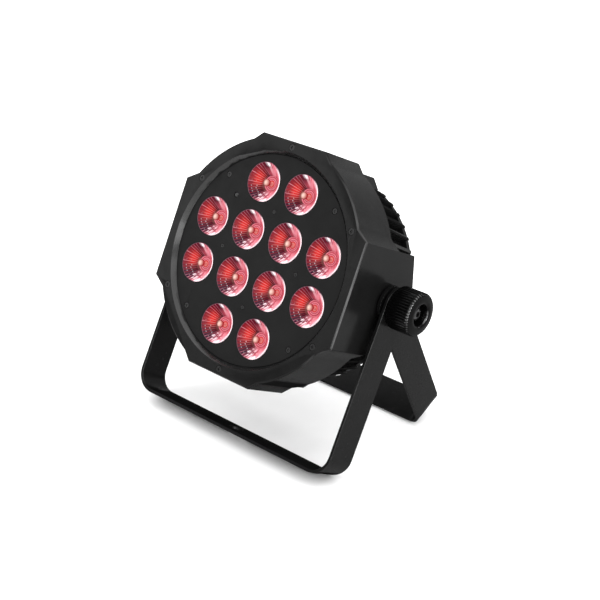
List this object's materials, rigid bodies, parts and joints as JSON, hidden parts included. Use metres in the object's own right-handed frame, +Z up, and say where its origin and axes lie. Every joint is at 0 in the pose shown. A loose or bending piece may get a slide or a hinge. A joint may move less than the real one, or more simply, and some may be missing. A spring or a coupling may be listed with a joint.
{
  "type": "par can stage light",
  "caption": "Flat par can wash light: a round finned lamp head with a grid of lit lenses, clamped by two side knobs between two U-shaped yokes that open into a floor stand.",
  "frame": {"origin": "middle of the bounding box on the floor under the two yoke bars", "axes": "+X along the tilt axis, -Y to the lit front, +Z up"},
  "size_m": [0.2904, 0.1944, 0.2707],
  "materials": {
    "case_black": "fine textured matt black",
    "plate_black": "matt black",
    "lens_clear": "clear moulded, lit red",
    "holder_black": "matt",
    "led_yellow": "satin",
    "board_white": "solder mask over aluminium",
    "pad_blue": "matt",
    "sink_aluminium": "as cast",
    "fin_black": "powder coated black",
    "cover_black": "powder coated black",
    "board_green": "circuit board",
    "coil_yellow": "taped ferrite core",
    "can_blue": "sleeved",
    "display_dark": "gloss",
    "window_smoke": "smoked clear",
    "key_grey": "matt",
    "switch_grey": "satin",
    "socket_black": "satin",
    "socket_blue": "satin",
    "socket_grey": "satin",
    "contact_gold": "plated",
    "screw_black": "blackened steel",
    "steel": "zinc plated",
    "brass": "plain",
    "washer_black": "nylon",
    "yoke_black": "powder coated black",
    "bolt_black": "blackened, glossy",
    "insert_black": "matt",
    "knob_black": "gloss"
  },
  "bodies": {
    "front_yoke": {"front_yoke": "yoke_black", "yoke_washers": "washer_black"},
    "head": {"front_housing": "case_black", "lens_plate": "plate_black", "ir_window": "display_dark", "lens_01": "lens_clear", "lens_02": "lens_clear", "lens_03": "lens_clear", "lens_04": "lens_clear", "lens_05": "lens_clear", "lens_06": "lens_clear", "lens_07": "lens_clear", "lens_08": "lens_clear", "lens_09": "lens_clear", "lens_10": "lens_clear", "lens_11": "lens_clear", "lens_12": "lens_clear", "lens_holders": "holder_black", "led_emitters": "led_yellow", "led_board": "board_white", "thermal_pad": "pad_blue", "heat_sink": "sink_aluminium", "rear_housing": "fin_black", "back_cover": "cover_black", "psu_board": "board_green", "transformer": "coil_yellow", "capacitors": "can_blue", "control_board": "board_green", "display": "display_dark", "display_window": "window_smoke", "button_switches": "switch_grey", "dmx_in": "socket_black", "dmx_in_pins": "contact_gold", "dmx_out": "socket_black", "power_in": "socket_blue", "power_out": "socket_grey", "socket_inserts": "insert_black", "power_contacts": "contact_gold", "bezel_screws": "screw_black", "plate_screws": "screw_black", "board_screws": "screw_black", "cover_screws": "screw_black", "socket_screws": "screw_black", "standoffs": "brass", "pivot_insert_left": "brass", "pivot_insert_right": "brass", "safety_eye": "steel", "head_washers": "washer_black"},
    "rear_yoke": {"rear_yoke": "yoke_black"},
    "clamp_left": {"clamp_washer_left": "steel"},
    "clamp_right": {"clamp_washer_right": "steel"},
    "knob_left": {"knob_left": "knob_black", "knob_bolt_left": "bolt_black"},
    "knob_right": {"knob_right": "knob_black", "knob_bolt_right": "bolt_black"},
    "menu_key": {"button_menu": "key_grey"},
    "down_key": {"button_down": "key_grey"},
    "up_key": {"button_up": "key_grey"},
    "enter_key": {"button_enter": "key_grey"},
    "dmx_latch": {"dmx_latch": "steel"}
  },
  "joints": [
    {"name": "head_tilt", "type": "hinge", "parent": "front_yoke", "child": "head", "pos_m": [-0.00325, 0.00573, 0.14952], "axis": [1, 0, 0], "continuous": true},
    {"name": "rear_yoke_swing", "type": "hinge", "parent": "front_yoke", "child": "rear_yoke", "pos_m": [-0.00325, 0.00573, 0.14952], "axis": [1, 0, 0], "continuous": true},
    {"name": "clamp_left_slide", "type": "slide", "parent": "front_yoke", "child": "clamp_left", "axis": [-1, 0, 0], "range_m": [0, 0.0025]},
    {"name": "knob_left_turn", "type": "hinge", "parent": "clamp_left", "child": "knob_left", "pos_m": [-0.00325, 0.00573, 0.14952], "axis": [-1, 0, 0], "range_deg": [0, 720]},
    {"name": "clamp_right_slide", "type": "slide", "parent": "front_yoke", "child": "clamp_right", "axis": [1, 0, 0], "range_m": [0, 0.0025]},
    {"name": "knob_right_turn", "type": "hinge", "parent": "clamp_right", "child": "knob_right", "pos_m": [-0.00325, 0.00573, 0.14952], "axis": [1, 0, 0], "range_deg": [0, 720]},
    {"name": "menu_key_press", "type": "slide", "parent": "head", "child": "menu_key", "axis": [0, -0.8788, 0.4772], "range_m": [0, 0.0008], "stiffness_N_per_m": 1500},
    {"name": "down_key_press", "type": "slide", "parent": "head", "child": "down_key", "axis": [0, -0.8788, 0.4772], "range_m": [0, 0.0008], "stiffness_N_per_m": 1500},
    {"name": "up_key_press", "type": "slide", "parent": "head", "child": "up_key", "axis": [0, -0.8788, 0.4772], "range_m": [0, 0.0008], "stiffness_N_per_m": 1500},
    {"name": "enter_key_press", "type": "slide", "parent": "head", "child": "enter_key", "axis": [0, -0.8788, 0.4772], "range_m": [0, 0.0008], "stiffness_N_per_m": 1500},
    {"name": "dmx_latch_press", "type": "slide", "parent": "head", "child": "dmx_latch", "axis": [0, -0.8788, 0.4772], "range_m": [0, 0.002], "stiffness_N_per_m": 500}
  ],
  "couplings": [
    {"joint": "knob_left_turn", "follows": "clamp_left_slide", "rad_per_m": 5026.5},
    {"joint": "knob_right_turn", "follows": "clamp_right_slide", "rad_per_m": 5026.5}
  ]
}
